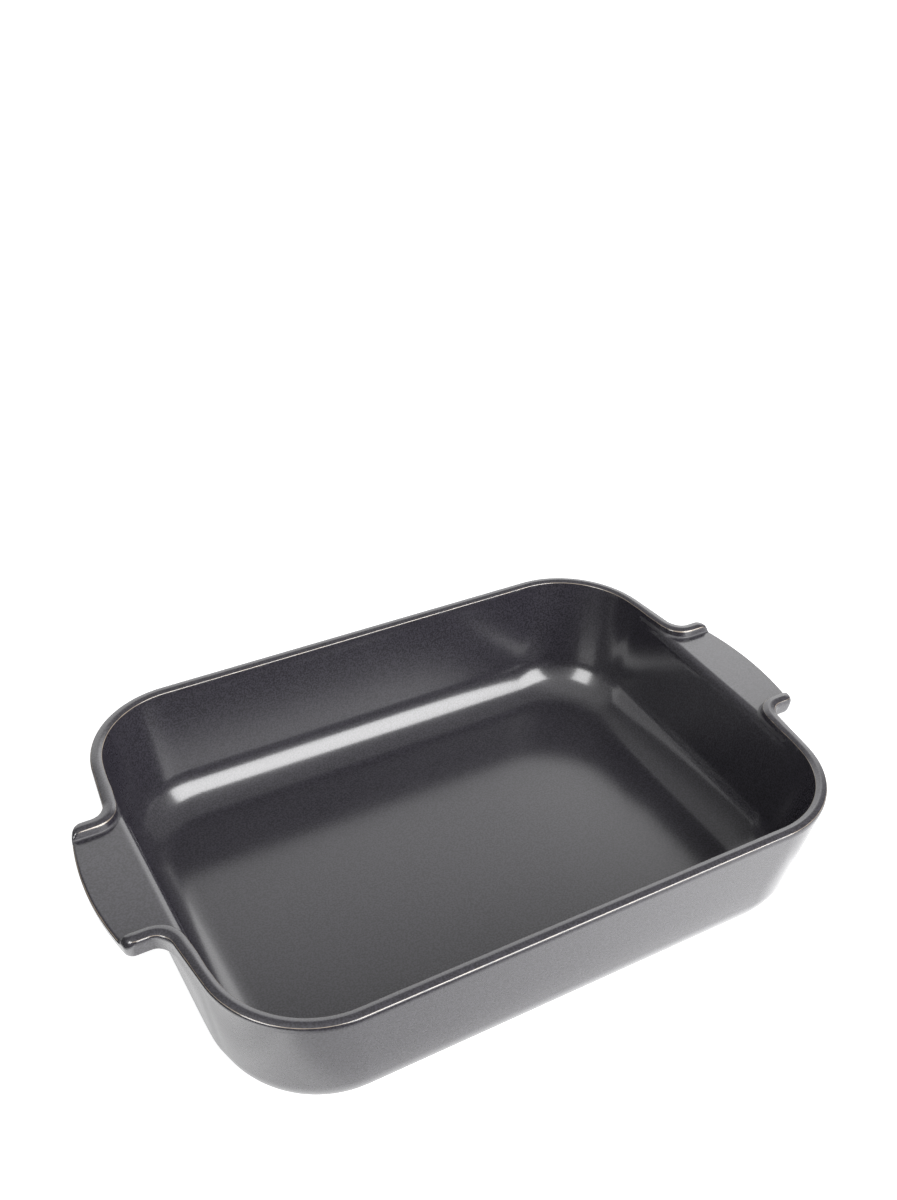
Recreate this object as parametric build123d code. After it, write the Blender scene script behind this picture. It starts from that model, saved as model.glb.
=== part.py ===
from build123d import *
import os
from math import cos, radians, sin, sqrt, tan

os.makedirs("parts", exist_ok=True)

# A rectangular stoneware baking dish with an open thumb recess in the top of
# each end handle. Millimetres, +Z up. The dish stands on Z = 0, centred on
# X = Y = 0, with its long side along X. Every size is that of the glazed dish
# unless its name says otherwise.

# The bowl
rim_length = 345.0
rim_width = 252.0
dish_height = 80.0
rim_corner_radius = 55.0
wall_thickness = 6.5
floor_thickness = 6.0
outer_base_radius = 30.0
inner_base_radius = 24.0
rim_edge_radius = 1.6
wall_draft_angle = 8.35
corner_tightening_share = 0.15

# The glaze on it
glaze_thickness = 0.35

# The bare foot ring under it
foot_height = 1.5
foot_width = 7.0
foot_margin = 1.5
foot_edge_radius = 0.5

# The handles, which stand out from the two short ends
handle_reach = 26.3
handle_width = 86.0
handle_thickness = 12.5
handle_end_radius = 165.0
handle_corner_radius = 6.5
handle_underside_radius = 4.0
handle_root_radius = 11.0

# The thumb recess in each handle, between two ridges that carry on the rim
ridge_width = 7.2
recess_depth = 5.0
recess_root_radius = 16.5
recess_root_gap = 0.7
recess_flare_angle = 8.0
ridge_tip_setback = 5.5
ridge_tip_radius = 2.2
sill_radius = 4.0

# How far a cutter runs past the surface that it cuts
overrun = 4.0

# How near to its place an edge or a face is when it is picked for a fillet
pick_tolerance = 0.4

# Sizes worked out from those above
RIGHT_ANGLE = 90.0
slope = tan(radians(wall_draft_angle))
lean = cos(radians(wall_draft_angle))
half_length = rim_length / 2
half_width = rim_width / 2
floor_height = foot_height + floor_thickness
shelf_height = dish_height - recess_depth
straight_half = half_width - rim_corner_radius
recess_half = handle_width / 2 - ridge_width
handle_inside = half_length - wall_thickness - overrun
base_setback = tan(radians((RIGHT_ANGLE - wall_draft_angle) / 2))
root_radius = min(handle_root_radius, straight_half - handle_width / 2 - rim_edge_radius)
recess_radius = min(recess_root_radius, straight_half - recess_half - rim_edge_radius)


def inset_at(height):
    """How far the drafted walls stand inside their rim line at a height."""
    return (dish_height - height) * slope


def loft_between(outline, low, high, grow):
    """A ruled block between one outline's shapes at two heights."""
    return loft([outline(low, grow), outline(high, grow)], ruled=True)


def in_plan(item, height):
    """A plan shape lifted to its height."""
    return Pos(0, 0, height) * item


def bowl_outline(height, grow):
    """Rounded rectangle of the bowl's wall, grown outwards, square to the wall."""
    inset = inset_at(height)
    half_x = half_length - inset + grow / lean
    half_y = half_width - inset + grow / lean
    corner = rim_corner_radius - corner_tightening_share * inset + grow
    return in_plan(RectangleRounded(2 * half_x, 2 * half_y, corner), height)


def bowl_block(grow, low, high, base_radius):
    """A drafted block with a rounded base edge, for the bowl or for its hollow."""
    block = loft_between(bowl_outline, low, high, grow)
    base = block.faces().sort_by(Axis.Z)[0]
    return fillet(base.edges(), base_radius)


def handle_outline(height, grow):
    """Plan of the right-hand handle, from inside the end wall to its bowed end."""
    inset = inset_at(height) - grow / lean
    half = handle_width / 2 - inset
    end_radius = handle_end_radius - inset
    centre_x = half_length + handle_reach + inset_at(shelf_height) - handle_end_radius
    side_x = centre_x + sqrt(end_radius**2 - half**2)
    corners = [(handle_inside, half), (handle_inside, -half), (side_x, -half)]
    edges = [
        Line(corners[0], corners[1]),
        Line(corners[1], corners[2]),
        ThreePointArc(corners[2], (centre_x + end_radius, 0), (side_x, half)),
        Line((side_x, half), corners[0]),
    ]
    return in_plan(make_face(edges), height)


def handle_block(grow):
    """The right-hand handle before it is rooted in the wall and recessed."""
    low = dish_height - handle_thickness - grow
    block = loft_between(handle_outline, low, dish_height + grow, grow)
    outside = block.edges().filter_by(lambda edge: edge.center().X > handle_inside + overrun / 2)
    upright = outside.filter_by(lambda edge: abs(edge.tangent_at(0).Z) > lean / 2)
    block = fillet(
        upright.filter_by(lambda edge: edge.center().X > half_length), handle_corner_radius + grow
    )
    under = block.faces().sort_by(Axis.Z)[0]
    free = under.edges().filter_by(lambda edge: edge.center().X > handle_inside + overrun / 2)
    return fillet(free, handle_underside_radius + grow)


def on_end_wall(edge, grow):
    """Whether an edge is one of those where a handle meets the end wall's face."""
    middle = edge.center()
    wall_x = half_length - inset_at(middle.Z) + grow / lean
    near = abs(abs(middle.X) - wall_x) < pick_tolerance
    level = dish_height - 2 * handle_thickness < middle.Z < dish_height + grow - pick_tolerance
    return near and level and abs(middle.Y) < handle_width / 2 + rim_edge_radius


def recess_outline(height, grow):
    """Plan of what is cut away above the shelf of the right-hand handle."""
    inset = inset_at(height) + grow / lean
    side = recess_half - inset
    root = recess_radius + inset
    flare = radians(recess_flare_angle)
    centre_x = half_length - wall_thickness + recess_root_gap + recess_radius
    centre_y = recess_half + recess_radius

    def on_root(angle):
        return (centre_x - root * cos(angle), centre_y - root * sin(angle))

    start = on_root(flare)
    run = handle_root_radius + overrun
    inside = (start[0] - run * sin(flare), start[1] + run * cos(flare))
    tip = ridge_tip_radius + inset
    tip_x = half_length + handle_reach - ridge_tip_setback + inset
    turn = radians(RIGHT_ANGLE / 2)
    tip_middle = (tip_x - tip + tip * sin(turn), side + tip - tip * cos(turn))
    wide = handle_width / 2 + overrun
    far = half_length + handle_reach + overrun
    edges = [
        Line((handle_inside, inside[1]), inside),
        Line(inside, start),
        ThreePointArc(start, on_root((flare + 2 * turn) / 2), (centre_x, side)),
        Line((centre_x, side), (tip_x - tip, side)),
        ThreePointArc((tip_x - tip, side), tip_middle, (tip_x, side + tip)),
        Line((tip_x, side + tip), (tip_x, wide)),
        Line((tip_x, wide), (far, wide)),
    ]
    edges += [mirror(edge, Plane.XZ) for edge in edges]
    edges.append(Line((far, wide), (far, -wide)))
    edges.append(Line((handle_inside, inside[1]), (handle_inside, -inside[1])))
    return in_plan(make_face(edges), height)


def sill_cutter(grow):
    """Rounds the edge where the recess runs over the end wall into the bowl."""
    radius = sill_radius + grow
    reach = radius * tan(radians((RIGHT_ANGLE - wall_draft_angle) / 2))
    shelf = shelf_height + grow
    corner_x = half_length - inset_at(shelf) - (wall_thickness + grow) / lean
    wall_point = (corner_x - reach * sin(radians(wall_draft_angle)), shelf - reach * lean)
    floor_point = (corner_x + reach, shelf)
    centre = (floor_point[0], shelf - radius)
    half_turn = radians((RIGHT_ANGLE + wall_draft_angle) / 2)
    middle = (centre[0] - radius * sin(half_turn), centre[1] + radius * cos(half_turn))
    inside = corner_x - sill_radius
    top = shelf + sill_radius
    with BuildPart() as cutter:
        with BuildSketch(Plane.XZ):
            with BuildLine():
                ThreePointArc(wall_point, middle, floor_point)
                Polyline(
                    floor_point,
                    (floor_point[0], top),
                    (inside, top),
                    (inside, wall_point[1]),
                    wall_point,
                )
            make_face()
        extrude(amount=recess_half + sill_radius, both=True)
    return cutter.part


def both_ends(shape):
    """A right-hand shape with its mirror image at the left-hand end."""
    return [shape, mirror(shape, Plane.YZ)]


def dish_form(grow):
    """The whole dish above its foot, with every surface moved out by grow."""
    body = bowl_block(grow, foot_height - grow, dish_height + grow, outer_base_radius + grow)
    for handle in both_ends(handle_block(grow)):
        body += handle
    roots = body.edges().filter_by(lambda edge: on_end_wall(edge, grow))
    body = fillet(roots, root_radius - grow)
    body -= bowl_block(
        -wall_thickness - grow,
        floor_height + grow,
        dish_height + overrun,
        inner_base_radius - grow,
    )
    for recess in both_ends(
        loft_between(recess_outline, shelf_height + grow, dish_height + overrun, grow)
    ):
        body -= recess
    for sill in both_ends(sill_cutter(grow)):
        body -= sill
    crest = dish_height + grow
    tops = body.faces().filter_by(lambda face: abs(face.center().Z - crest) < pick_tolerance)
    return fillet(tops.edges(), rim_edge_radius + grow)


def foot_outline(height, margin):
    """Plan of the flat under the bowl, drawn in by a margin."""
    draw_in = inset_at(foot_height) + outer_base_radius * base_setback + margin
    corner = (
        rim_corner_radius
        - corner_tightening_share * inset_at(foot_height)
        - outer_base_radius * base_setback
        - margin
    )
    size_x = 2 * (half_length - draw_in)
    size_y = 2 * (half_width - draw_in)
    return in_plan(RectangleRounded(size_x, size_y, corner), height)


def foot_ring():
    """The bare ring that the dish stands on, up to the clay's own underside."""
    plan = foot_outline(0, foot_margin) - foot_outline(0, foot_margin + foot_width)
    ring = extrude(plan, foot_height + glaze_thickness)
    return fillet(ring.faces().sort_by(Axis.Z)[0].edges(), foot_edge_radius)


def middle_block():
    """What lies inside the middle of the bowl's walls and floor."""
    return bowl_block(
        -wall_thickness / 2,
        foot_height + floor_thickness / 2,
        dish_height + overrun,
        (inner_base_radius + outer_base_radius) / 2,
    )


def handle_zone(middle):
    """The right-hand handle with the outer half of the wall that it is rooted in."""
    low = dish_height - handle_thickness - root_radius - rim_edge_radius
    size_x = half_length + handle_reach + overrun
    size_y = handle_width + 2 * root_radius + 2 * rim_edge_radius
    box = Box(size_x, size_y, dish_height - low + overrun, align=(Align.MIN, Align.CENTER, Align.MIN))
    return Pos(0, 0, low) * box - middle


def inside_foot(shape):
    """Splits a shape's solids into those inside the foot ring and the rest."""
    edge_x = half_length - inset_at(foot_height) - outer_base_radius * base_setback - foot_margin
    inner = [solid for solid in shape.solids() if solid.bounding_box().max.X < edge_x]
    outer = [solid for solid in shape.solids() if solid.bounding_box().max.X >= edge_x]
    return inner, outer


clay = dish_form(-glaze_thickness) + foot_ring()
coat = dish_form(0) - clay
middle = middle_block()
right_zone, left_zone = both_ends(handle_zone(middle))
bowl_coat = coat - right_zone - left_zone
underside, outside = inside_foot(bowl_coat - middle)

nodes = {
    "bowl": clay - right_zone - left_zone,
    "right_handle": clay & right_zone,
    "left_handle": clay & left_zone,
    "inside_glaze": bowl_coat & middle,
    "outside_glaze": Compound(outside),
    "underside_glaze": Compound(underside),
    "right_handle_glaze": coat & right_zone,
    "left_handle_glaze": coat & left_zone,
}

for name, shape in nodes.items():
    export_step(shape, f"parts/{name}.step")
    print(name, len(shape.solids()), "solids", round(shape.volume), "cubic mm")
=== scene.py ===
from math import cos, pi, radians, sin, tan

import bpy
import numpy as np
from mathutils import Matrix, Vector


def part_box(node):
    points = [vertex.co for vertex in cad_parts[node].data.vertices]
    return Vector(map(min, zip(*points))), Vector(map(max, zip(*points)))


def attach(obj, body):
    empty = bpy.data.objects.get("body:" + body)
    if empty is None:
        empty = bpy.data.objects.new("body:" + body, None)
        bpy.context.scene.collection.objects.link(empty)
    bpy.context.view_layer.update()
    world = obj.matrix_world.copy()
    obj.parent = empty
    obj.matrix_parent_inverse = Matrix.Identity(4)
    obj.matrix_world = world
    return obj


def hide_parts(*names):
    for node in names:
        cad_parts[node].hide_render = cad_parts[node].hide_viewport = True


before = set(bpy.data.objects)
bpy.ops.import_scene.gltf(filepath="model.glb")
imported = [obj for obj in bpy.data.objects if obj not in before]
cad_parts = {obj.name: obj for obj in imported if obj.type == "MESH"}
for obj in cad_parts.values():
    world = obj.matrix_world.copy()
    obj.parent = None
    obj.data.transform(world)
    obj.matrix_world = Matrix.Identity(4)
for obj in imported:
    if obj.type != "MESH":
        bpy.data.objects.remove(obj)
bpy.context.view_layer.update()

# Sizes of the dish, in metres. +X runs to the right-hand handle and +Z up out
# of the bowl. The rim's height and the handles' reach are those of the frame.
MM = 0.001
dish_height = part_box("inside_glaze")[1].z
handle_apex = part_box("right_handle_glaze")[1].x
half_length = 172.5 * MM
half_width = 126.22 * MM
rim_corner_radius = 55.0 * MM
corner_tightening_share = 0.15
wall_thickness = 6.5 * MM
floor_height = 7.5 * MM
foot_height = 1.5 * MM
inner_base_radius = 24.0 * MM
outer_base_radius = 30.0 * MM
wall_draft = radians(8.35)
glaze_thickness = 0.35 * MM

# The crest of the rim and the ridges is domed, between a tight inner edge and
# a softer outer one, which has a shoulder under it. The inner edge is softer
# too where the rim bends into a ridge, and at a ridge's tip
crest_half_width = 3.25 * MM
crest_dome_radius = 6.0 * MM
crest_edge_radius = 1.0 * MM
crest_outer_radius = 2.3 * MM
shoulder_height = 4.2 * MM
shoulder_radius = 7.0 * MM
bend_edge_radius = 2.6 * MM
bend_place = (179.0 * MM, 36.0 * MM)
bend_reach = 6.0 * MM
tip_place = (193.5 * MM, 38.0 * MM)
tip_reach = 4.0 * MM

# The short ends' rims stand out a little towards the handles
rim_lean = radians(6.75)
rim_lean_start = 77.5 * MM
rim_lean_end = 46.0 * MM
end_wall_bow = 1.2 * MM
lean_fade_low = 45.0 * MM
lean_fade_high = 72.0 * MM

# The handles and the recess in the top of each
handle_half_width = 43.0 * MM
handle_thickness = 12.5 * MM
handle_end_radius = 165.0 * MM
handle_corner_radius = 5.0 * MM
handle_underside_radius = 4.0 * MM
handle_root_radius = 8.2 * MM
handle_glaze_low = 54.9 * MM
shelf_edge_radius = 1.3 * MM
recess_depth = 5.0 * MM
recess_foot_radius = 1.0 * MM
sill_radius = 5.5 * MM
ridge_width = 7.1 * MM
ridge_tip_radius = 2.0 * MM
ridge_tip_slope = radians(16.0)

# The bare ring under the base
foot_ring_margin = 1.5 * MM
foot_ring_width = 7.0 * MM
foot_ring_height = 1.9 * MM
foot_ring_edge = 0.5 * MM

# Sizes worked out from those above
slope = tan(wall_draft)
lean = cos(wall_draft)
tilt = sin(wall_draft)
shelf_height = dish_height - recess_depth
base_share = tan((pi / 2 - wall_draft) / 2)
crest_edge_tilt = crest_half_width / crest_dome_radius
crest_edge_level = (1 - crest_edge_tilt**2) ** 0.5
centres = np.array([(0, 0, floor_height), (0, 0, foot_height)])
centres_out = np.array([(0, 0, 1), (0, 0, -1)])

# How finely the surface is followed and measured
probe_step = 0.02 * MM
least_slope = 0.01
trace_step = 0.3 * MM
trace_limit = 1500
path_step = 0.1 * MM
path_overshoot = 4.0 * MM
bend_steps = 400
settle_rounds = 3
facing_limits = (-0.9, 0.999)
joint_reach_share = 3

# Sections of the surface in each stretch of a quarter of the outline: half a
# long side, the corner, the end's leaning rim, the handle's root, its side, its
# corner at the ridge's tip, its end by the ridge, and half of its shelf's edge.
# Then which of these is the handle's first and which is at the ridge's tip, and
# where those over the end start on the floor, as shares of the end's run there
section_counts = (22, 42, 16, 32, 12, 28, 34, 26)
handle_stretch = 3
tip_stretch = 5
end_start_shares = (1.0, 0.67, 0.35, 0.283, 0.217, 0.17, 0.0)
ridge_foot_low = 33.0 * MM

# How far a section's path keeps its direction at its ends, over a handle
path_pull_share = 1 / 3
tip_pull_share = 0.9
pull_growth = 0.3 * MM

# Cells along each section: inside, over the top, down to the lower edge of a
# handle's coat, and round the base
cell_counts = (38, 56, 30, 20)
cell_length = 6.0 * MM
cell_turn = radians(7.0)
turn_window = 3
blur_window = 9
blur_rounds = 2
share_steps = 600

# Rings of faces on the flat of the floor and of the base, as shares of its
# size. The clay has every second section, and is held clear of the glaze
floor_shares = (0.15, 0.4, 0.65, 0.85)
clay_section_step = 2
clay_gap = 0.01 * MM

# Sections before a handle's own that its glaze takes in
handle_margin_sections = 3

# Where the glaze breaks on an outer edge: how steep the middle of the edge is,
# how far the break spreads from there, and the zones that the edges lie in
inner_edge_angle = radians(38.0)
inner_edge_spread = radians(26.0)
outer_edge_angle = radians(47.0)
outer_edge_spread = radians(14.0)
shelf_edge_angle = radians(41.0)
shelf_edge_spread = radians(24.0)
crest_zone_depth = 3.0 * MM
shelf_zone_depth = 2.6 * MM
tip_fade_share = 0.8

# How far the glaze gathers at the foot of a ridge
ridge_foot_reach = 1.6 * MM


def smooth_step(value, low, high):
    """0 below low and 1 above high, with a smooth rise between."""
    share = np.clip((value - low) / (high - low), 0, 1)
    return share * share * (3 - 2 * share)


def rounded_corner(a, b, radius, facing):
    """Where two solids overlap, with the edge rounded. facing is the cosine between their faces."""
    a_in = a + radius
    b_in = b + radius
    reach = np.maximum(a_in**2 + b_in**2 - 2 * facing * a_in * b_in, 0) / (1 - facing**2)
    at_corner = (a_in > facing * b_in) & (b_in > facing * a_in)
    return np.where(at_corner, np.sqrt(reach) - radius, np.maximum(a, b))


def rounded_joint(a, b, radius, facing):
    """Two solids joined, with a fillet in the corner between them."""
    return -rounded_corner(-a, -b, radius, facing)


def rounded_rectangle(x, y, half_x, half_y, corner):
    """Distance in plan to a rounded rectangle, for x and y of 0 or more."""
    over_x = x - half_x + corner
    over_y = y - half_y + corner
    beyond = np.hypot(np.maximum(over_x, 0), np.maximum(over_y, 0))
    return beyond + np.minimum(np.maximum(over_x, over_y), 0) - corner


def end_bulge(y):
    """How far the rim of a short end stands out from a straight one."""
    run = tan(rim_lean) * (rim_lean_start - np.maximum(y, rim_lean_end))
    start = half_length - rim_corner_radius * (1 - cos(rim_lean))
    past_corner = np.clip(y - half_width + rim_corner_radius, 0, rim_corner_radius)
    arc = half_length - rim_corner_radius + np.sqrt(rim_corner_radius**2 - past_corner**2)
    return np.where(y < rim_lean_start, np.maximum(start + run - arc, 0), 0)


def limited_bulge(y):
    """The smaller bulge that the wall under the rim has."""
    return end_wall_bow * np.tanh(end_bulge(y) / end_wall_bow)


def wall_side(x, y, z, thickness, bulge):
    """Distance to the drafted wall, a thickness inside its outer face."""
    inset = (dish_height - z) * slope
    half_x = half_length - inset - thickness / lean
    half_y = half_width - inset - thickness / lean
    corner = rim_corner_radius - corner_tightening_share * inset - thickness
    return rounded_rectangle(x - bulge, y, half_x, half_y, corner) * lean


def outer_side(x, y, z):
    """Distance to the wall's outer face, which follows the leaning rim near its top."""
    low_bulge = limited_bulge(y)
    fade = smooth_step(z, lean_fade_low, lean_fade_high)
    return wall_side(x, y, z, 0, low_bulge + (end_bulge(y) - low_bulge) * fade)


def handle_strip(y, z):
    """Distance to the handle's two long sides."""
    return (y - handle_half_width + (dish_height - z) * slope) * lean


def hollow(x, y, z):
    """The bowl's hollow."""
    side = wall_side(x, y, z, wall_thickness, limited_bulge(y))
    return rounded_corner(side, floor_height - z, inner_base_radius, tilt)


def rim_line(x, y, z):
    """Distance to the outer faces that the rim and the ridges follow."""
    return rounded_joint(outer_side(x, y, z), handle_strip(y, z), handle_root_radius, sin(rim_lean))


def recess(x, y, z):
    """What is cut away above the handle's shelf, between its ridges."""
    return rounded_corner(rim_line(x, y, z) + ridge_width, shelf_height - z, recess_foot_radius, tilt)


def handle_plate(x, y, z):
    """The handle before the recess is cut."""
    above = z - shelf_height
    high = (above + np.hypot(above, shelf_edge_radius)) / 2
    inset = high * tan(ridge_tip_slope) + (high - above) * slope
    end = (np.hypot(x - handle_apex + handle_end_radius, y) - handle_end_radius + inset) * lean
    turn = handle_half_width / handle_end_radius
    plan = rounded_corner(handle_strip(y, z), end, handle_corner_radius, turn)
    return rounded_corner(plan, dish_height - handle_thickness - z, handle_underside_radius, tilt)


def gradient(field, points, step):
    """Slope of a field at points, as one row for each axis."""
    rows = []
    for axis in range(len(points)):
        ahead = [place + step * (index == axis) for index, place in enumerate(points)]
        behind = [place - step * (index == axis) for index, place in enumerate(points)]
        rows.append((field(*ahead) - field(*behind)) / (2 * step))
    return np.array(rows)


def cut_away(x, y, z):
    """The hollow and the recess together, with the sill between them rounded."""
    bowl = hollow(x, y, z)
    top = recess(x, y, z)
    near = np.maximum(np.abs(bowl), np.abs(top)) < joint_reach_share * sill_radius
    facing = np.zeros_like(bowl)
    if near.any():
        spot = [place[near] for place in (x, y, z)]
        bowl_slope = gradient(hollow, spot, probe_step)
        top_slope = gradient(recess, spot, probe_step)
        size = np.linalg.norm(bowl_slope, axis=0) * np.linalg.norm(top_slope, axis=0)
        cosine = (bowl_slope * top_slope).sum(0) / np.maximum(size, least_slope)
        facing[near] = np.clip(cosine, *facing_limits)
    return rounded_joint(bowl, top, sill_radius, facing)


def above_shoulder(z):
    """How far a height is above the start of the shoulder under the crest."""
    return np.maximum(z - dish_height + shoulder_height, 0)


def shouldered(outside, z):
    """The outside, with its walls curving in a little just under the crest."""
    above = above_shoulder(z)
    way = above / shoulder_radius - slope
    return (outside / lean + above**2 / (2 * shoulder_radius)) / np.sqrt(1 + way**2)


def two_sides(x, y, z):
    """Distances to the dish's outside and to its inside, in the quarter where x and y are 0 or more."""
    bowl = rounded_corner(outer_side(x, y, z), foot_height - z, outer_base_radius, tilt)
    outside = rounded_joint(bowl, handle_plate(x, y, z), handle_root_radius, tilt / 2)
    return shouldered(outside, z), -cut_away(x, y, z)


def dish_field(x, y, z):
    """Distance to the glazed dish's surface, negative in its wall, for a point anywhere."""
    x = np.abs(x)
    y = np.abs(y)
    outside, inside = two_sides(x, y, z)
    on_ridge = smooth_step(z - shelf_height, shelf_edge_radius, 2 * shelf_edge_radius)
    edge_radius = shelf_edge_radius + (ridge_tip_radius - shelf_edge_radius) * on_ridge
    body = rounded_corner(outside, inside, edge_radius, tilt * (on_ridge - 1))
    depth = np.clip(-rounded_corner(outside, inside, crest_half_width, 0), 0, crest_half_width)
    level = np.sqrt(1 - ((crest_half_width - depth) / crest_dome_radius) ** 2)
    crest = (z - dish_height + crest_dome_radius * (1 - level)) * level
    inner = smooth_step(inside - outside, -crest_edge_radius, crest_edge_radius)
    rise = above_shoulder(z) / shoulder_radius
    way = slope * (2 * inner - 1) + rise * (1 - inner)
    facing = (crest_edge_tilt + crest_edge_level * way) / np.sqrt(1 + way**2)
    softer = np.exp(-((x - bend_place[0]) ** 2 + (y - bend_place[1]) ** 2) / bend_reach**2)
    softer += np.exp(-((x - tip_place[0]) ** 2 + (y - tip_place[1]) ** 2) / tip_reach**2)
    inner_radius = crest_edge_radius + (bend_edge_radius - crest_edge_radius) * softer
    radius = crest_outer_radius + (inner_radius - crest_outer_radius) * inner
    return rounded_corner(body, crest, radius, facing)


def straight_stretch(start, end, out, count):
    """Places along a straight run of the outline, without its last, and their outward direction."""
    share = np.linspace(0, 1, count, endpoint=False)[:, None]
    places = np.array(start) * (1 - share) + np.array(end) * share
    return places, np.tile(out, (count, 1))


def round_stretch(centre, radius, start, end, count):
    """Places along an arc of the outline, without its last, and their outward directions."""
    angles = np.linspace(start, end, count, endpoint=False)
    rays = np.stack([np.cos(angles), np.sin(angles)], 1)
    return np.array(centre) + abs(radius) * rays, np.sign(radius) * rays


def quarter_outline():
    """A quarter of the dish's outline, from the middle of a long side to the middle of a handle."""
    corner = np.array([half_length - rim_corner_radius, half_width - rim_corner_radius])
    lean_out = np.array([cos(rim_lean), sin(rim_lean)])
    lean_top = corner + rim_corner_radius * lean_out
    root_y = handle_half_width + handle_root_radius * (1 - sin(rim_lean))
    lean_low = np.array([lean_top[0] + tan(rim_lean) * (lean_top[1] - root_y), root_y])
    root = lean_low + handle_root_radius * lean_out
    end_centre_x = handle_apex - handle_end_radius
    tip_y = handle_half_width - handle_corner_radius
    tip_distance = handle_end_radius - handle_corner_radius
    tip = np.array([end_centre_x + (tip_distance**2 - tip_y**2) ** 0.5, tip_y])
    tip_angle = np.arcsin(tip_y / tip_distance)
    foot_angle = np.arcsin(ridge_foot_low / handle_end_radius)
    side, turn, leaning, rooting, straight, tipping, footing, ending = section_counts
    stretches = [
        straight_stretch((0, half_width), (corner[0], half_width), (0, 1), side),
        round_stretch(corner, rim_corner_radius, pi / 2, rim_lean, turn),
        straight_stretch(lean_top, lean_low, lean_out, leaning),
        round_stretch(root, -handle_root_radius, pi + rim_lean, 3 * pi / 2, rooting),
        straight_stretch((root[0], handle_half_width), (tip[0], handle_half_width), (0, 1), straight),
        round_stretch(tip, handle_corner_radius, pi / 2, tip_angle, tipping),
        round_stretch((end_centre_x, 0), handle_end_radius, tip_angle, foot_angle, footing),
        round_stretch((end_centre_x, 0), handle_end_radius, foot_angle, 0, ending),
        (np.array([[handle_apex, 0.0]]), np.array([[1.0, 0.0]])),
    ]
    places = np.vstack([stretch[0] for stretch in stretches])
    out = np.vstack([stretch[1] for stretch in stretches])
    return places, out


def start_line(inset, corner):
    """Where the sections start, on a plain rounded rectangle an inset inside the rim line."""
    size_x = half_length - inset
    centre = np.array([size_x - corner, half_width - inset - corner])
    side, turn, *handle_counts = section_counts
    places = [(x, half_width - inset) for x in np.linspace(0, centre[0], side, endpoint=False)]
    for angle in np.linspace(pi / 2, rim_lean, turn, endpoint=False):
        places.append((centre[0] + corner * cos(angle), centre[1] + corner * sin(angle)))
    end_y = centre[1] + corner * sin(rim_lean)
    shares = [
        share
        for count, high, low in zip(handle_counts, end_start_shares, end_start_shares[1:])
        for share in np.linspace(high, low, count, endpoint=False)
    ]
    for share in [*shares, 0]:
        past_corner = max(end_y * share - centre[1], 0)
        places.append((centre[0] + (corner**2 - past_corner**2) ** 0.5, end_y * share))
    return np.array(places)


def floor_line():
    """The foot ring's outer edge in plan, just inside the flat of the base and of the floor."""
    inset = (dish_height - foot_height) * slope + outer_base_radius * base_share + foot_ring_margin
    corner = rim_corner_radius - corner_tightening_share * (dish_height - foot_height) * slope
    return inset, corner - outer_base_radius * base_share - foot_ring_margin


def section_paths():
    """Each section's path in plan, from the floor to past the outline, as places path_step apart.

    Over a handle a path bends, to cross its ridge and its edge at right angles.
    """
    wall_top = (wall_thickness / lean + recess_depth * slope, rim_corner_radius - wall_thickness)
    share = np.linspace(0, 1, bend_steps)[:, None]
    weights = [(1 - share) ** 3, 3 * share * (1 - share) ** 2, 3 * share**2 * (1 - share), share**3]
    ends, outs = quarter_outline()
    tops = start_line(*wall_top)
    pulls = np.linalg.norm(ends - tops, axis=1) * path_pull_share
    reaches = pulls.copy()
    tip_start = sum(section_counts[:tip_stretch])
    tip_end = tip_start + section_counts[tip_stretch]
    reaches[tip_start:tip_end] = tip_pull_share * handle_corner_radius
    for order in (range(1, len(reaches)), range(len(reaches) - 2, -1, -1)):
        for index in order:
            beside = reaches[index - 1] if order.step > 0 else reaches[index + 1]
            reaches[index] = min(reaches[index], beside + pull_growth)
    paths = []
    lows = start_line(*floor_line())
    for end, out, low, top, pull, reach in zip(ends, outs, lows, tops, pulls, reaches):
        way = (top - low) / np.linalg.norm(top - low)
        corners = (top, top + way * pull, end - out * reach, end)
        bend = sum(weight * corner for weight, corner in zip(weights, corners))
        line = np.vstack([low, bend, end + out * path_overshoot])
        run = np.concatenate([[0], np.cumsum(np.linalg.norm(np.diff(line, axis=0), axis=1))])
        even = np.arange(0, run[-1], path_step)
        paths.append(np.stack([np.interp(even, run, line[:, axis]) for axis in (0, 1)], 1))
    longest = max(len(path) for path in paths)
    return np.array([np.pad(path, ((0, longest - len(path)), (0, 0)), "edge") for path in paths])


def along_paths(paths, run):
    """Places at a distance along each path. Before its start a path goes straight on."""
    step = np.clip(run / path_step, 0, paths.shape[1] - 2)
    whole = step.astype(int)
    part = (step - whole)[:, None]
    rows = np.arange(len(paths))
    places = paths[rows, whole] * (1 - part) + paths[rows, whole + 1] * part
    return places + np.minimum(run, 0)[:, None] * (paths[:, 1] - paths[:, 0]) / path_step


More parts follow.
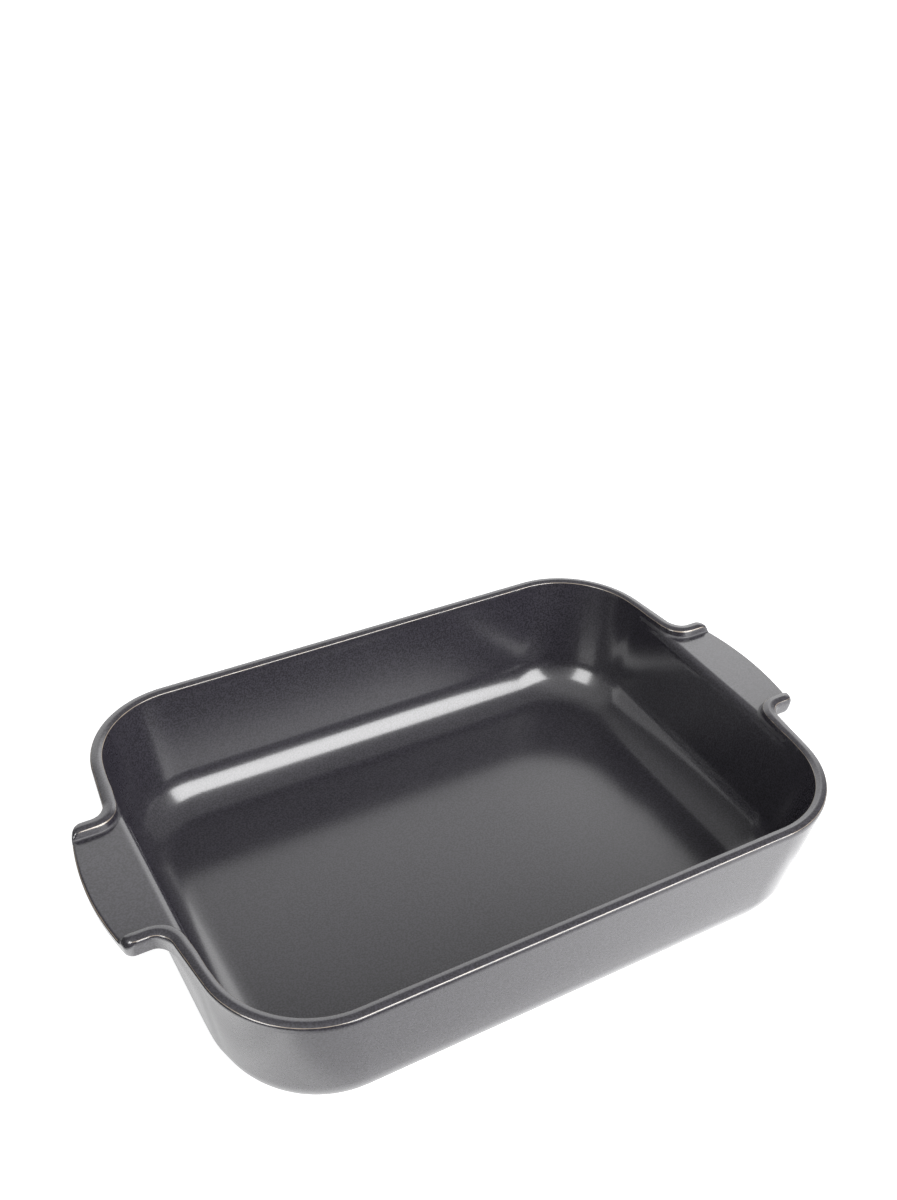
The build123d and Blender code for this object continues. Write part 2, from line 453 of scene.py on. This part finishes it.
def trace_sections(paths):
    """Follows the surface along every path, from the floor over the top and back to the base."""
    run = np.zeros(len(paths))
    height = np.full(len(paths), floor_height)
    going = np.ones(len(paths), bool)
    tangent = np.array([[1.0, 0.0]] * len(paths))
    rows = [np.stack([run, height], 1)]

    def field(run, height):
        places = along_paths(paths, run)
        return dish_field(places[:, 0], places[:, 1], height)

    while going.any() and len(rows) < trace_limit:
        run = run + trace_step * tangent[:, 0] * going
        height = height + trace_step * tangent[:, 1] * going
        value = field(run, height)
        along = (field(run + probe_step, height) - field(run - probe_step, height)) / (2 * probe_step)
        up = (field(run, height + probe_step) - field(run, height - probe_step)) / (2 * probe_step)
        size = np.maximum(along**2 + up**2, least_slope)
        run = run - value * along / size * going
        height = height - value * up / size * going
        tangent = np.stack([up, -along], 1) / np.sqrt(size)[:, None]
        rows.append(np.stack([run, height], 1))
        going &= (height > floor_height) | (run > 0)
    return np.array(rows)


def section_marks(run, height, places):
    """Rows of a section where its parts meet: mid-wall, outermost, a coat's lower edge and the end."""
    x, y = places.T
    middle = wall_side(x, y, height, wall_thickness / 2, limited_bulge(y))
    mid_wall = np.argmax(middle > 0)
    outermost = mid_wall + np.argmax(run[mid_wall:])
    coat_edge = outermost + np.argmax(height[outermost:] < handle_glaze_low)
    return [0, mid_wall, outermost, coat_edge, len(run) - 1]


def blurred(values):
    """Values averaged with those of the sections beside them."""
    half = blur_window // 2
    for _ in range(blur_rounds):
        padded = np.pad(values, ((half, half), *[(0, 0)] * (values.ndim - 1)), "reflect")
        values = sum(padded[step : step + len(values)] for step in range(blur_window)) / blur_window
    return values


def even_cells(paths, rows):
    """Points on the surface, in rows from the floor to the base, closer together where it curves.

    Sections beside each other share out their points alike, so that the rows cross a ridge smoothly.
    """
    tracks = []
    for index in range(len(paths)):
        run, height = rows[:, index, 0], rows[:, index, 1]
        last = np.argmax((run <= 0) & (height < floor_height))
        run, height = run[: last + 1], height[: last + 1]
        places = along_paths(paths[index : index + 1].repeat(len(run), 0), run)
        step = np.hypot(np.diff(run), np.diff(height))
        angle = np.unwrap(np.arctan2(np.diff(height), np.diff(run)))
        turn = np.abs(np.diff(angle, prepend=angle[0]))
        turn = np.convolve(turn, np.ones(turn_window) / turn_window, "same")
        distance = np.concatenate([[0], np.cumsum(step)])
        measure = np.concatenate([[0], np.cumsum(step / cell_length + turn / cell_turn)])
        tracks.append((distance, measure, places, height, distance[section_marks(run, height, places)]))
    marks = np.array([track[-1] for track in tracks])
    marks[:, 1] = blurred(marks[:, 1] / marks[:, 2]) * marks[:, 2]
    share = np.linspace(0, 1, share_steps)
    crowding = []
    for (distance, measure, *_), ends in zip(tracks, marks):
        spans = [
            np.interp(low + share * (high - low), distance, measure)
            for low, high in zip(ends, ends[1:])
        ]
        crowding.append([(span - span[0]) / (span[-1] - span[0]) for span in spans])
    quarter = []
    for (distance, _, places, height, _), ends, spans in zip(tracks, marks, blurred(np.array(crowding))):
        wanted = [0.0]
        for count, low, high, span in zip(cell_counts, ends, ends[1:], spans):
            parts = np.interp(np.linspace(0, 1, count + 1)[1:], span, share)
            wanted += list(low + parts * (high - low))
        spots = [np.interp(wanted, distance, row) for row in (places[:, 0], places[:, 1], height)]
        quarter.append(np.stack(spots, 1))
    return np.array(quarter)


def settle(points):
    """Moves points onto the dish's surface, and gives the surface's outward directions there."""
    for _ in range(settle_rounds):
        value = dish_field(*points)
        away = gradient(dish_field, points, probe_step)
        points = points - value * away / (away**2).sum(0)
    away = gradient(dish_field, points, probe_step)
    return points, away / np.linalg.norm(away, axis=0)


def whole_loop(quarter):
    """A quarter's sections mirrored to the whole dish, as rows of points that run round it."""
    right = np.concatenate([quarter, quarter[-2::-1] * (1, -1, 1)])
    left = right[-2:0:-1] * (-1, 1, 1)
    return np.concatenate([right, left]).transpose(1, 0, 2)


def flat_rings(row, shares):
    """Smaller copies of a level row of points, towards its middle."""
    return np.array([row * (share, share, 1) for share in shares])


def band_faces(around, first_row, last_row, chosen=None):
    """Faces between two rows of points that run round the dish, or of the chosen sections only."""
    row = np.arange(first_row, last_row)[:, None] * around
    here = np.arange(around)[None] if chosen is None else np.flatnonzero(chosen)[None]
    ahead = (here + 1) % around
    corners = [row + here, row + ahead, row + around + ahead, row + around + here]
    return np.stack(corners, -1).reshape(-1, 4)


def fan_faces(row, around, centre, turned):
    """Triangles that close a row of points at a centre."""
    here = row * around + np.arange(around)
    ahead = row * around + (np.arange(around) + 1) % around
    middle = np.full(around, centre)
    return np.stack([middle, here, ahead] if turned else [middle, ahead, here], -1)


def dish_surface():
    """The whole surface and its outward directions, as rows of points that run round the dish."""
    paths = section_paths()
    quarter = even_cells(paths, trace_sections(paths))
    settled = settle(quarter.reshape(-1, 3).T)
    surface, surface_out = [whole_loop(item.T.reshape(quarter.shape)) for item in settled]
    floor_rings = flat_rings(surface[0] * (1, 1, 0) + centres[0], floor_shares)
    base_rings = flat_rings(surface[-1] * (1, 1, 0) + centres[1], floor_shares[::-1])
    upwards = np.broadcast_to((0.0, 0.0, 1.0), floor_rings.shape)
    rows = np.concatenate([floor_rings, surface, base_rings])
    return rows, np.concatenate([upwards, surface_out, -upwards])


def glaze_breaks(places, out):
    """How far the glaze breaks at each point, or below 0 how far it gathers at the foot of a ridge."""
    x, y = np.abs(places[:, :2]).T
    z = places[:, 2]
    angle = np.arcsin(np.clip(out[:, 2], -1, 1))
    outside, inside = two_sides(x, y, z)
    middle = np.where(outside < inside, inner_edge_angle, outer_edge_angle)
    spread = np.where(outside < inside, inner_edge_spread, outer_edge_spread)
    on_crest = z > dish_height - crest_zone_depth
    at_crest = np.clip(1 - np.abs(angle - middle) / spread, 0, 1) * on_crest
    from_tip = np.hypot(x - tip_place[0], y - tip_place[1]) / tip_reach
    at_crest = at_crest * (1 - tip_fade_share * np.exp(-(from_tip**2)))
    over_shelf = z - shelf_height
    end_x = handle_apex - y**2 / (2 * handle_end_radius)
    on_shelf = (np.abs(over_shelf) < shelf_edge_radius) & (x > end_x - shelf_zone_depth)
    at_shelf = np.clip(1 - np.abs(angle - shelf_edge_angle) / shelf_edge_spread, 0, 1) * on_shelf
    from_foot = np.hypot(rim_line(x, y, z) + ridge_width, over_shelf) / ridge_foot_reach
    at_foot = (x > half_length - wall_thickness) & (from_foot < 1)
    return np.where(at_foot, from_foot - 1, np.maximum(at_crest, at_shelf))


def mesh_piece(name, faces, places, out, edge_share, material):
    """An object from its faces, and from its points with their outward directions."""
    mesh = bpy.data.meshes.new(name)
    mesh.from_pydata(places.tolist(), [], faces)
    mesh.polygons.foreach_set("use_smooth", np.ones(len(mesh.polygons), bool))
    mesh.attributes.new("edge_share", "FLOAT", "POINT").data.foreach_set("value", edge_share)
    mesh.normals_split_custom_set_from_vertices(out.tolist())
    mesh.materials.append(material)
    piece = bpy.data.objects.new(name, mesh)
    bpy.context.collection.objects.link(piece)
    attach(piece, "root")
    return piece


def coat_piece(name, faces, places, out, edge_share, material):
    """A closed layer of glaze under the chosen groups of faces of the dish's surface."""
    corners = np.concatenate([np.concatenate(group) for group in faces])
    used, numbers = np.unique(corners, return_inverse=True)
    count = len(used)
    outer = []
    start = 0
    for group in faces:
        outer.append(numbers[start : start + group.size].reshape(group.shape))
        start += group.size
    inner = [group[:, ::-1] + count for group in outer]
    sides = np.concatenate(
        [np.stack([group, np.roll(group, -1, 1)], -1).reshape(-1, 2) for group in outer]
    )
    known = set(map(tuple, sides.tolist()))
    rim = [(b, a, a + count, b + count) for a, b in sides.tolist() if (b, a) not in known]
    closed = [face for group in [*outer, *inner] for face in group.tolist()] + rim
    spots = np.concatenate([places[used], places[used] - out[used] * glaze_thickness])
    ways = np.concatenate([out[used], -out[used]])
    shares = np.concatenate([edge_share[used], 0 * edge_share[used]])
    return mesh_piece(name, closed, spots, ways, shares, material)


def underside_coat(name, material):
    """The glaze under the base, inside the foot ring."""
    inset, corner = floor_line()
    line = start_line(inset + foot_ring_width, corner - foot_ring_width)
    row = whole_loop(np.column_stack([line, np.full(len(line), foot_height)])[:, None])
    rows = np.concatenate([row, flat_rings(row[0], floor_shares[::-1])])
    last, around = len(rows) - 1, rows.shape[1]
    places = np.concatenate([rows.reshape(-1, 3), centres[1:]])
    faces = [band_faces(around, 0, last), fan_faces(last, around, len(places) - 1, True)]
    out = np.broadcast_to((0.0, 0.0, -1.0), places.shape)
    return coat_piece(name, faces, places, out, np.zeros(len(places)), material)


def clay_body(name, surface, surface_out, material):
    """The clay, which lies a coat's depth inside the whole surface."""
    depth = glaze_thickness + clay_gap
    rows = (surface - surface_out * depth)[:, ::clay_section_step]
    last, around = len(rows) - 1, rows.shape[1]
    places = np.concatenate([rows.reshape(-1, 3), centres - centres_out * depth])
    out = np.concatenate([surface_out[:, ::clay_section_step].reshape(-1, 3), centres_out])
    faces = [
        *fan_faces(0, around, len(places) - 2, False).tolist(),
        *band_faces(around, 0, last).tolist(),
        *fan_faces(last, around, len(places) - 1, True).tolist(),
    ]
    return mesh_piece(name, faces, places, out, np.zeros(len(places)), material)


class Nodes:
    """Adds and joins the nodes of one tree."""

    def __init__(self, tree):
        self.tree = tree

    def fill(self, socket, value):
        """Sets an input to a value, or joins it to another node's output."""
        if isinstance(value, bpy.types.NodeSocket):
            self.tree.links.new(value, socket)
        else:
            socket.default_value = value

    def add(self, kind, inputs=None, **settings):
        """A new node, with its inputs filled and its settings made."""
        node = self.tree.nodes.new(kind)
        for key, value in settings.items():
            setattr(node, key, value)
        for key, value in (inputs or {}).items():
            self.fill(node.inputs[key], value)
        return node

    def noise(self, vector, scale, detail):
        wanted = {"Vector": vector, "Scale": scale, "Detail": detail}
        return self.add("ShaderNodeTexNoise", wanted).outputs["Fac"]

    def ramp(self, value, low, high, to_low=0.0, to_high=1.0):
        """A smooth change from one level to another, between two values."""
        wanted = {"Value": value, "From Min": low, "From Max": high, "To Min": to_low, "To Max": to_high}
        return self.add("ShaderNodeMapRange", wanted, interpolation_type="SMOOTHSTEP").outputs["Result"]

    def math(self, operation, first, second):
        wanted = {0: first, 1: second}
        return self.add("ShaderNodeMath", wanted, operation=operation).outputs["Value"]

    def vector(self, operation, first, second=(0, 0, 0), result="Vector"):
        wanted = {0: first, 1: second}
        return self.add("ShaderNodeVectorMath", wanted, operation=operation).outputs[result]

    def blend(self, share, first, second):
        """A colour between two others, by the share of the second."""
        node = self.add("ShaderNodeMix", data_type="RGBA")
        for place, value in (("Factor_Float", share), ("A_Color", first), ("B_Color", second)):
            self.fill(next(item for item in node.inputs if item.identifier == place), value)
        return next(item for item in node.outputs if item.identifier == "Result_Color")

    def bump(self, height, distance, below=None):
        """A relief of a depth, on another one below it if given."""
        wanted = {"Height": height, "Distance": distance, "Strength": 1.0}
        if below is not None:
            wanted["Normal"] = below
        return self.add("ShaderNodeBump", wanted).outputs["Normal"]

    def mix_shader(self, share, first, second):
        return self.add("ShaderNodeMixShader", {0: share, 1: first, 2: second}).outputs["Shader"]


def shader_nodes(holder):
    """The emptied shader tree of a new material or world."""
    holder.use_nodes = True
    holder.node_tree.nodes.clear()
    return Nodes(holder.node_tree)


# The glaze: its colours, the scale and detail of its noises, and its ramps,
# each between two levels of what it reads and, if given, to two levels
glaze_dark = (0.011, 0.0095, 0.015, 1)
glaze_pale = (0.015, 0.0135, 0.019, 1)
glaze_mottle = (0.045, 0.041, 0.055, 1)
glaze_speck = (0.07, 0.065, 0.07, 1)
glaze_break = (0.42, 0.34, 0.26, 1)
glaze_noises = {
    "clouds": (22.0, 4.0),
    "grain": (1300.0, 2.0),
    "wander": (160.0, 3.0),
    "mottle": (1100.0, 1.0),
    "waves": (14.0, 1.0),
    "skin": (450.0, 2.0),
}
glaze_ramps = {
    "clouds": (0.3, 0.7),
    "mottle": (0.35, 0.65, 0.0, 0.8),
    "specks": (0.62, 0.74),
    "wander": (0.3, 0.7, -0.12, 0.12),
    "worn": (0.42, 0.78, 0.0, 0.9),
    "roughness": (0.25, 0.75, 0.165, 0.185),
    "ridge_foot": (0.0, 0.7, 0.0, 0.5),
}
speck_share = 0.3
speck_roughness = 0.08
glaze_ior = 2.0
haze_share = 0.22
haze_roughness = 0.42
wave_depth = 0.06 * MM
skin_depth = 0.0025 * MM

# The bare clay, in the same terms
clay_dark = (0.52, 0.42, 0.31, 1)
clay_pale = (0.60, 0.50, 0.37, 1)
clay_iron = (0.14, 0.09, 0.06, 1)
clay_noises = {"clouds": (35.0, 4.0), "grit": (700.0, 3.0), "iron": (300.0, 1.0)}
clay_ramps = {"clouds": (0.3, 0.7), "iron": (0.72, 0.78, 0.0, 0.7), "roughness": (0.3, 0.7, 0.75, 0.92)}
grit_depth = 0.08 * MM


def glaze_material(name):
    """Satin charcoal glaze: faint clouds and specks, and clay showing through where it breaks at edges."""
    material = bpy.data.materials.new(name)
    nodes = shader_nodes(material)
    spot = nodes.add("ShaderNodeTexCoord").outputs["Object"]
    clouds, grain, wander, mottle, waves, skin = [nodes.noise(spot, *row) for row in glaze_noises.values()]
    base = nodes.blend(nodes.ramp(clouds, *glaze_ramps["clouds"]), glaze_dark, glaze_pale)
    base = nodes.blend(nodes.ramp(mottle, *glaze_ramps["mottle"]), base, glaze_mottle)
    specks = nodes.ramp(grain, *glaze_ramps["specks"])
    base = nodes.blend(nodes.math("MULTIPLY", specks, speck_share), base, glaze_speck)
    edge = nodes.add("ShaderNodeAttribute", attribute_name="edge_share").outputs["Fac"]
    worn = nodes.math("ADD", edge, nodes.ramp(wander, *glaze_ramps["wander"]))
    base = nodes.blend(nodes.ramp(worn, *glaze_ramps["worn"]), base, glaze_break)
    foot = nodes.ramp(nodes.math("MULTIPLY", edge, -1.0), *glaze_ramps["ridge_foot"])
    rough = nodes.ramp(clouds, *glaze_ramps["roughness"])
    rough = nodes.math("ADD", rough, nodes.math("MULTIPLY", specks, speck_roughness))
    rough = nodes.math("ADD", rough, foot)
    normal = nodes.bump(skin, skin_depth, below=nodes.bump(waves, wave_depth))
    wanted = {"Base Color": base, "IOR": glaze_ior, "Normal": normal}
    sharp = nodes.add("ShaderNodeBsdfPrincipled", {**wanted, "Roughness": rough}).outputs["BSDF"]
    haze = nodes.add("ShaderNodeBsdfPrincipled", {**wanted, "Roughness": haze_roughness}).outputs["BSDF"]
    nodes.add("ShaderNodeOutputMaterial", {"Surface": nodes.mix_shader(haze_share, sharp, haze)})
    return material


def clay_material(name):
    """Bare fired stoneware: buff, matt and gritty, with darker iron specks."""
    material = bpy.data.materials.new(name)
    nodes = shader_nodes(material)
    spot = nodes.add("ShaderNodeTexCoord").outputs["Object"]
    clouds, grit, iron = [nodes.noise(spot, *row) for row in clay_noises.values()]
    base = nodes.blend(nodes.ramp(clouds, *clay_ramps["clouds"]), clay_dark, clay_pale)
    base = nodes.blend(nodes.ramp(iron, *clay_ramps["iron"]), base, clay_iron)
    rough = nodes.ramp(grit, *clay_ramps["roughness"])
    wanted = {"Base Color": base, "Roughness": rough, "Normal": nodes.bump(grit, grit_depth)}
    shader = nodes.add("ShaderNodeBsdfPrincipled", wanted).outputs["BSDF"]
    nodes.add("ShaderNodeOutputMaterial", {"Surface": shader})
    return material


# Steps round each corner of the foot ring's path, and of its section
ring_corner_steps = 24
ring_edge_steps = 4


def swept_ring(name, sizes, material):
    """A rounded rectangle swept round a rounded rectangular path, by Geometry Nodes."""
    group = bpy.data.node_groups.new(name, "GeometryNodeTree")
    group.interface.new_socket("Geometry", in_out="OUTPUT", socket_type="NodeSocketGeometry")
    sockets = {}
    for label in sizes:
        sockets[label] = group.interface.new_socket(label, in_out="INPUT", socket_type="NodeSocketFloat")
    nodes = Nodes(group)
    entry = nodes.add("NodeGroupInput").outputs

    def rounded(width, height, radius, steps):
        outline = nodes.add("GeometryNodeCurvePrimitiveQuadrilateral", {"Width": width, "Height": height})
        wanted = {"Curve": outline.outputs["Curve"], "Radius": radius, "Count": steps}
        return nodes.add("GeometryNodeFilletCurve", wanted, mode="POLY").outputs["Curve"]

    line = rounded(entry["Path length"], entry["Path width"], entry["Path radius"], ring_corner_steps)
    section = rounded(entry["Ring width"], entry["Ring height"], entry["Edge radius"], ring_edge_steps)
    swept = nodes.add("GeometryNodeCurveToMesh", {"Curve": line, "Profile Curve": section}).outputs["Mesh"]
    half_height = nodes.math("MULTIPLY", entry["Ring height"], 0.5)
    lift = nodes.add("ShaderNodeCombineXYZ", {"Z": half_height}).outputs["Vector"]
    lifted = nodes.add("GeometryNodeSetPosition", {"Geometry": swept, "Offset": lift}).outputs["Geometry"]
    real = nodes.add("GeometryNodeRealizeInstances", {"Geometry": lifted}).outputs["Geometry"]
    fired = nodes.add("GeometryNodeSetMaterial", {"Geometry": real, "Material": material})
    nodes.add("NodeGroupOutput", {"Geometry": fired.outputs["Geometry"]})

    source = bpy.data.objects.new(name + "_source", bpy.data.meshes.new(name + "_source"))
    bpy.context.collection.objects.link(source)
    modifier = source.modifiers.new("ring", "NODES")
    modifier.node_group = group
    for label, value in sizes.items():
        modifier[sockets[label].identifier] = float(value)
    done = source.evaluated_get(bpy.context.evaluated_depsgraph_get())
    mesh = bpy.data.meshes.new_from_object(done)
    mesh.name = name
    source.modifiers.remove(modifier)
    bpy.data.objects.remove(source)
    piece = bpy.data.objects.new(name, mesh)
    bpy.context.collection.objects.link(piece)
    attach(piece, "root")
    return piece


# The studio's floor, which is white to the camera and in the light that it
# throws on the dish. How light it is where the glaze mirrors it goes by the place
# across it and by the distance from a block under the dish. Each ramp is between
# two of these in metres, and to two levels
floor_half = 4.0
floor_pale = 0.92
floor_shown = 0.84
under_block = (0.17, 0.12, 0)
floor_ramps = {
    "far_level": (-0.1, 0.25, 0.04, 0.7),
    "dimmed": (0.045, 0.13, 1.0),
    "left_lift": (-0.255, -0.155, 2.1, 0.15),
    "right_lift": (-0.16, 0.25, 0.15, 1.0),
    "under_lift": (0.0, 0.015, 0.5, 0.0),
}

# The studio's world: its level on the dish, to the camera and in the glaze,
# where soft round patches add to it or take from it. Each patch has its angle
# round from +X and above the floor, the radius that it is full to and the one
# that it fades out at, in degrees, and its amount
world_level = 0.42
world_shown = 1.0
room_level = 0.36
patches = {
    "back_wall": (70, -5, 43, 59, 1.12),
    "back_right_lamp": (42, 35, 3, 13, 0.7),
    "back_right_wall": (38, 18, 6, 28, 0.45),
    "camera_side_dark": (-115, 0, 20, 48, -0.3),
    "front_left_lamp": (-150, 50, 25, 55, 0.35),
    "back_left_dark": (145, 20, 0, 50, -0.2),
}

# The share of an area lamp's power that is its radiance times its area
lamp_radiance_share = 0.25

# The camera's place in metres, its direction, and its lens in millimetres
camera_place = Vector((-0.28332, -0.45371, 0.54279))
camera_turn = radians(-31.002)
camera_drop = radians(34.297)
camera_roll = radians(2.569)
camera_sensor = 36.0
camera_focal_length = 40.353
camera_near = 0.01


def floor_material(name):
    """Matt white, with a light of its own that only the camera and the glaze see."""
    material = bpy.data.materials.new(name)
    material.cycles.emission_sampling = "NONE"
    nodes = shader_nodes(material)
    ray = nodes.add("ShaderNodeLightPath").outputs
    spot = nodes.add("ShaderNodeTexCoord").outputs["Object"]
    across = nodes.add("ShaderNodeSeparateXYZ", {"Vector": spot}).outputs["X"]
    beyond = nodes.vector("SUBTRACT", nodes.vector("ABSOLUTE", spot), under_block)
    away = nodes.vector("LENGTH", nodes.vector("MAXIMUM", beyond), result="Value")
    far_level = nodes.ramp(across, *floor_ramps["far_level"])
    dimmed = nodes.ramp(away, *floor_ramps["dimmed"], far_level)
    mirrored = ray["Is Glossy Ray"]
    level = nodes.math("MULTIPLY", mirrored, dimmed)
    level = nodes.math("ADD", nodes.math("SUBTRACT", 1.0, mirrored), level)
    pale = nodes.math("MULTIPLY", level, floor_pale)
    grey = nodes.add("ShaderNodeCombineColor", {"Red": pale, "Green": pale, "Blue": pale})
    matt = nodes.add("ShaderNodeBsdfDiffuse", {"Color": grey.outputs["Color"]})
    left_lift = nodes.ramp(across, *floor_ramps["left_lift"])
    right_lift = nodes.ramp(across, *floor_ramps["right_lift"])
    under_lift = nodes.ramp(away, *floor_ramps["under_lift"])
    lifted = nodes.math("ADD", nodes.math("MAXIMUM", left_lift, right_lift), under_lift)
    lifted = nodes.math("MULTIPLY", nodes.math("MULTIPLY", lifted, dimmed), mirrored)
    strength = nodes.math("ADD", lifted, nodes.math("MULTIPLY", ray["Is Camera Ray"], floor_shown))
    white = nodes.add("ShaderNodeEmission", {"Color": (1, 1, 1, 1), "Strength": strength})
    both = nodes.add("ShaderNodeAddShader", {0: matt.outputs["BSDF"], 1: white.outputs["Emission"]})
    nodes.add("ShaderNodeOutputMaterial", {"Surface": both.outputs["Shader"]})
    return material


def floor_sheet(name, half, material):
    """The flat sheet that the dish stands on."""
    corners = [(-half, -half, 0), (half, -half, 0), (half, half, 0), (-half, half, 0)]
    mesh = bpy.data.meshes.new(name)
    mesh.from_pydata(corners, [], [range(len(corners))])
    mesh.materials.append(material)
    sheet = bpy.data.objects.new(name, mesh)
    bpy.context.collection.objects.link(sheet)


def direction_of(turn, rise):
    """The direction at an angle round from +X and an angle above the floor, in degrees."""
    turn, rise = radians(turn), radians(rise)
    return Vector((cos(rise) * cos(turn), cos(rise) * sin(turn), sin(rise)))


def studio_world(name):
    """White to the camera, even on the dish, and a room with its patches in what the glaze mirrors."""
    world = bpy.data.worlds.new(name)
    world.cycles.sampling_method = "NONE"
    nodes = shader_nodes(world)
    way = nodes.add("ShaderNodeTexCoord").outputs["Generated"]
    room = room_level
    for turn, rise, full, faded, amount in patches.values():
        facing = nodes.vector("DOT_PRODUCT", way, direction_of(turn, rise), result="Value")
        patch = nodes.ramp(facing, cos(radians(faded)), cos(radians(full)), 0.0, amount)
        room = nodes.math("ADD", room, patch)
    even, shown, mirrored = [
        nodes.add("ShaderNodeBackground", {"Color": (1, 1, 1, 1), "Strength": level}).outputs["Background"]
        for level in (world_level, world_shown, room)
    ]
    ray = nodes.add("ShaderNodeLightPath").outputs
    unseen = nodes.mix_shader(ray["Is Glossy Ray"], even, mirrored)
    whole = nodes.mix_shader(ray["Is Camera Ray"], unseen, shown)
    nodes.add("ShaderNodeOutputWorld", {"Surface": whole})
    return world


def softbox(name, turn, rise, distance, size, strength):
    """A lamp that faces the dish. Its strength is that on a surface square to it."""
    direction = direction_of(turn, rise)
    lamp = bpy.data.lights.new(name, "AREA")
    lamp.shape = "RECTANGLE"
    lamp.size, lamp.size_y = size
    lamp.energy = strength * pi * distance**2 / lamp_radiance_share
    holder = bpy.data.objects.new(name, lamp)
    holder.location = direction * distance
    holder.rotation_euler = direction.to_track_quat("Z", "Y").to_euler()
    bpy.context.collection.objects.link(holder)
    return holder


def studio_camera(name):
    """The camera at the photograph's viewing angle."""
    flat = cos(camera_drop)
    forward = Vector((-sin(camera_turn) * flat, cos(camera_turn) * flat, -sin(camera_drop)))
    sideways = Vector((cos(camera_turn), sin(camera_turn), 0))
    upright = sideways.cross(forward)
    right_hand = sideways * cos(camera_roll) + upright * sin(camera_roll)
    overhead = upright * cos(camera_roll) - sideways * sin(camera_roll)
    turned = Matrix((right_hand, overhead, -forward)).transposed()
    lens = bpy.data.cameras.new(name)
    lens.sensor_fit = "AUTO"
    lens.sensor_width = camera_sensor
    lens.lens = camera_focal_length
    lens.clip_start = camera_near
    camera = bpy.data.objects.new(name, lens)
    camera.matrix_world = Matrix.Translation(camera_place) @ turned.to_4x4()
    bpy.context.collection.objects.link(camera)
    return camera


# The whole surface, as rows of points that run round the dish
dish_rows, dish_rows_out = dish_surface()
dish_places = np.concatenate([dish_rows.reshape(-1, 3), centres])
dish_out = np.concatenate([dish_rows_out.reshape(-1, 3), centres_out])
dish_breaks = glaze_breaks(dish_places, dish_out)

# The rows and the sections where its coats of glaze meet
mid_wall_row, _, coat_edge_row, base_row = len(floor_shares) + np.cumsum(cell_counts)
section_total = dish_rows.shape[1]
quarter_sections = section_total // 4
handle_sections = sum(section_counts[handle_stretch:]) + handle_margin_sections
cell_middles = np.arange(section_total) + 0.5
at_right = np.abs(cell_middles - quarter_sections) < handle_sections
at_left = np.abs(cell_middles - 3 * quarter_sections) < handle_sections

glaze = glaze_material("satin_charcoal_glaze")
clay = clay_material("bare_stoneware")


def dish_coat(name, *faces):
    """A piece of the glaze on the dish's surface."""
    return coat_piece(name, faces, dish_places, dish_out, dish_breaks, glaze)


def wall_band(chosen):
    """Faces of the chosen sections, from the middle of the rim down to the handles' lower edge."""
    return band_faces(section_total, mid_wall_row, coat_edge_row, chosen)


inside = dish_coat(
    "glaze_inside",
    fan_faces(0, section_total, len(dish_places) - 2, False),
    band_faces(section_total, 0, mid_wall_row),
)
outside = dish_coat(
    "glaze_outside",
    wall_band(~at_right & ~at_left),
    band_faces(section_total, coat_edge_row, base_row),
)
right_coat = dish_coat("glaze_right_handle", wall_band(at_right))
left_coat = dish_coat("glaze_left_handle", wall_band(at_left))
under_coat = underside_coat("glaze_underside", glaze)
body = clay_body("stoneware_body", dish_rows, dish_rows_out, clay)
ring_inset, ring_corner = floor_line()
ring_sizes = {
    "Path length": 2 * (half_length - ring_inset) - foot_ring_width,
    "Path width": 2 * (half_width - ring_inset) - foot_ring_width,
    "Path radius": ring_corner - foot_ring_width / 2,
    "Ring width": foot_ring_width,
    "Ring height": foot_ring_height,
    "Edge radius": foot_ring_edge,
}
ring = swept_ring("foot_ring", ring_sizes, clay)

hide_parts("inside_glaze")
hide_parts("outside_glaze")
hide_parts("right_handle_glaze")
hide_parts("left_handle_glaze")
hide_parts("underside_glaze")
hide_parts("bowl", "left_handle", "right_handle")

floor_sheet("studio_floor", floor_half, floor_material("studio_floor"))
bpy.context.scene.world = studio_world("studio")
softbox("key_softbox", turn=-68, rise=31, distance=2.0, size=(1.45, 1.6), strength=0.95)
side_softbox = softbox("side_softbox", turn=-158, rise=28, distance=2.0, size=(0.8, 1.4), strength=0.4)
side_softbox.visible_diffuse = False
bpy.context.scene.camera = studio_camera("camera")
bpy.context.scene.view_settings.view_transform = "Standard"
